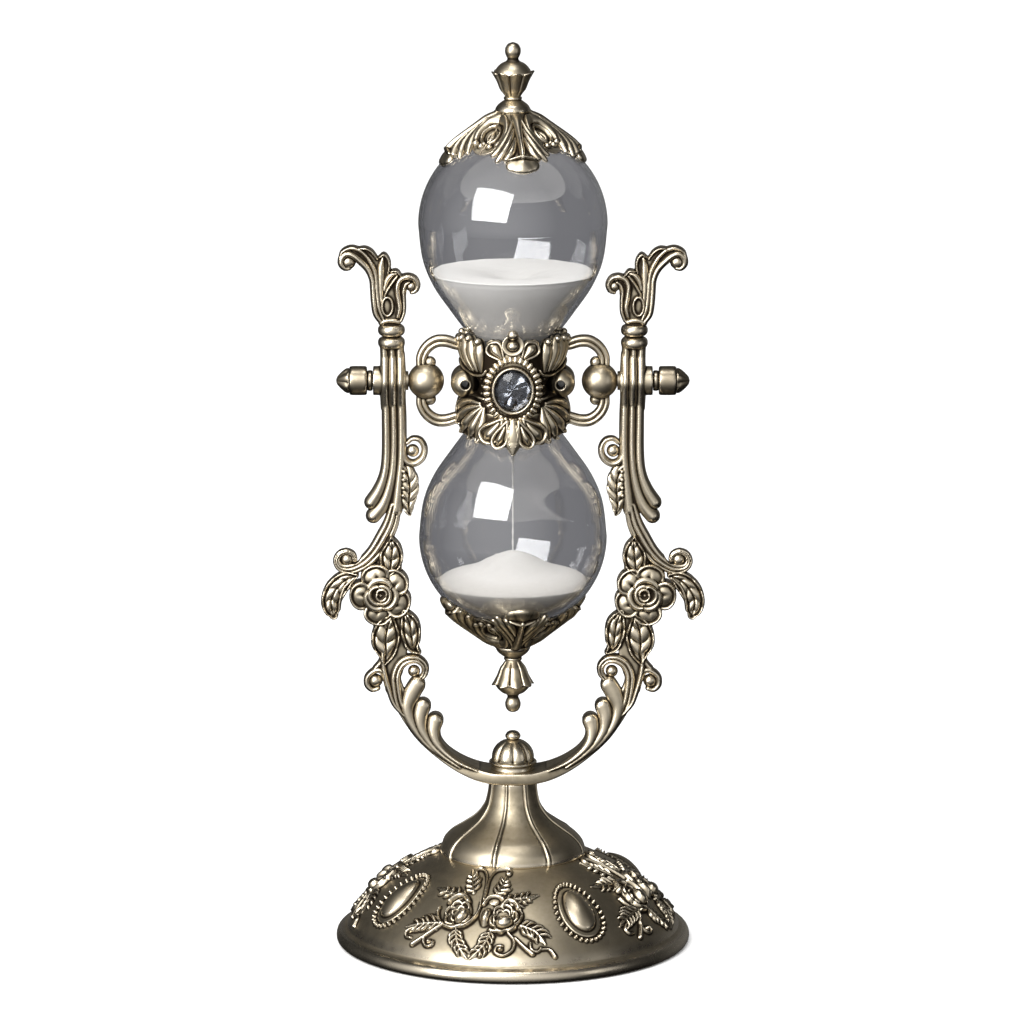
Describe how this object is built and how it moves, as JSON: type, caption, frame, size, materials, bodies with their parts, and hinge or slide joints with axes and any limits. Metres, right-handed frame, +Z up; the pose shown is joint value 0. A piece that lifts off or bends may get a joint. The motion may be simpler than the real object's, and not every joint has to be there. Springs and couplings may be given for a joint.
{
  "type": "swivel hourglass",
  "caption": "Sand timer whose waisted glass turns end over end in an ornate cast bronze-coloured yoke on a domed round base.",
  "frame": {"origin": "centre of the base, on the surface that it stands on", "axes": "+Z up, +X to the right along the turning axis, front towards -Y"},
  "size_m": [0.1282, 0.12, 0.307],
  "materials": {
    "antique_bronze": "brushed antique bronze plating, dark patina in the hollows",
    "dark_bronze": "turned antique bronze plating",
    "steel": "zinc-plated",
    "clear_glass": "blown, clear",
    "crystal": "faceted, clear",
    "sand": "fine white sand",
    "felt": "black felt",
    "gasket": "matt rubber"
  },
  "bodies": {
    "stand": {"felt_pad": "felt", "base_dome": "antique_bronze", "stem": "antique_bronze", "yoke": "antique_bronze", "dome_nut": "antique_bronze", "tie_rod": "steel", "tie_washer": "steel", "tie_nut": "steel"},
    "glass_assembly": {"glass": "clear_glass", "sand_upper": "sand", "sand_lower": "sand", "sand_stream": "sand", "collar_front": "antique_bronze", "collar_back": "antique_bronze", "jewel_front": "crystal", "jewel_back": "crystal", "handle_left": "antique_bronze", "handle_right": "antique_bronze", "collar_screws": "steel", "collar_nuts": "steel", "collar_gaskets": "gasket", "top_cap": "antique_bronze", "bottom_cap": "antique_bronze", "top_finial": "antique_bronze", "bottom_finial": "antique_bronze", "pivot_washers": "gasket"},
    "left_knob": {"pivot_screw_left": "dark_bronze"},
    "right_knob": {"pivot_screw_right": "dark_bronze"}
  },
  "joints": [
    {"name": "glass_turn", "type": "hinge", "parent": "stand", "child": "glass_assembly", "pos_m": [0, 0, 0.193], "axis": [1, 0, 0], "continuous": true},
    {"name": "left_knob_turn", "type": "hinge", "parent": "glass_assembly", "child": "left_knob", "pos_m": [-0.05, 0, 0.193], "axis": [-1, 0, 0], "range_deg": [0, 360]},
    {"name": "right_knob_turn", "type": "hinge", "parent": "glass_assembly", "child": "right_knob", "pos_m": [0.05, 0, 0.193], "axis": [1, 0, 0], "range_deg": [0, 360]}
  ]
}
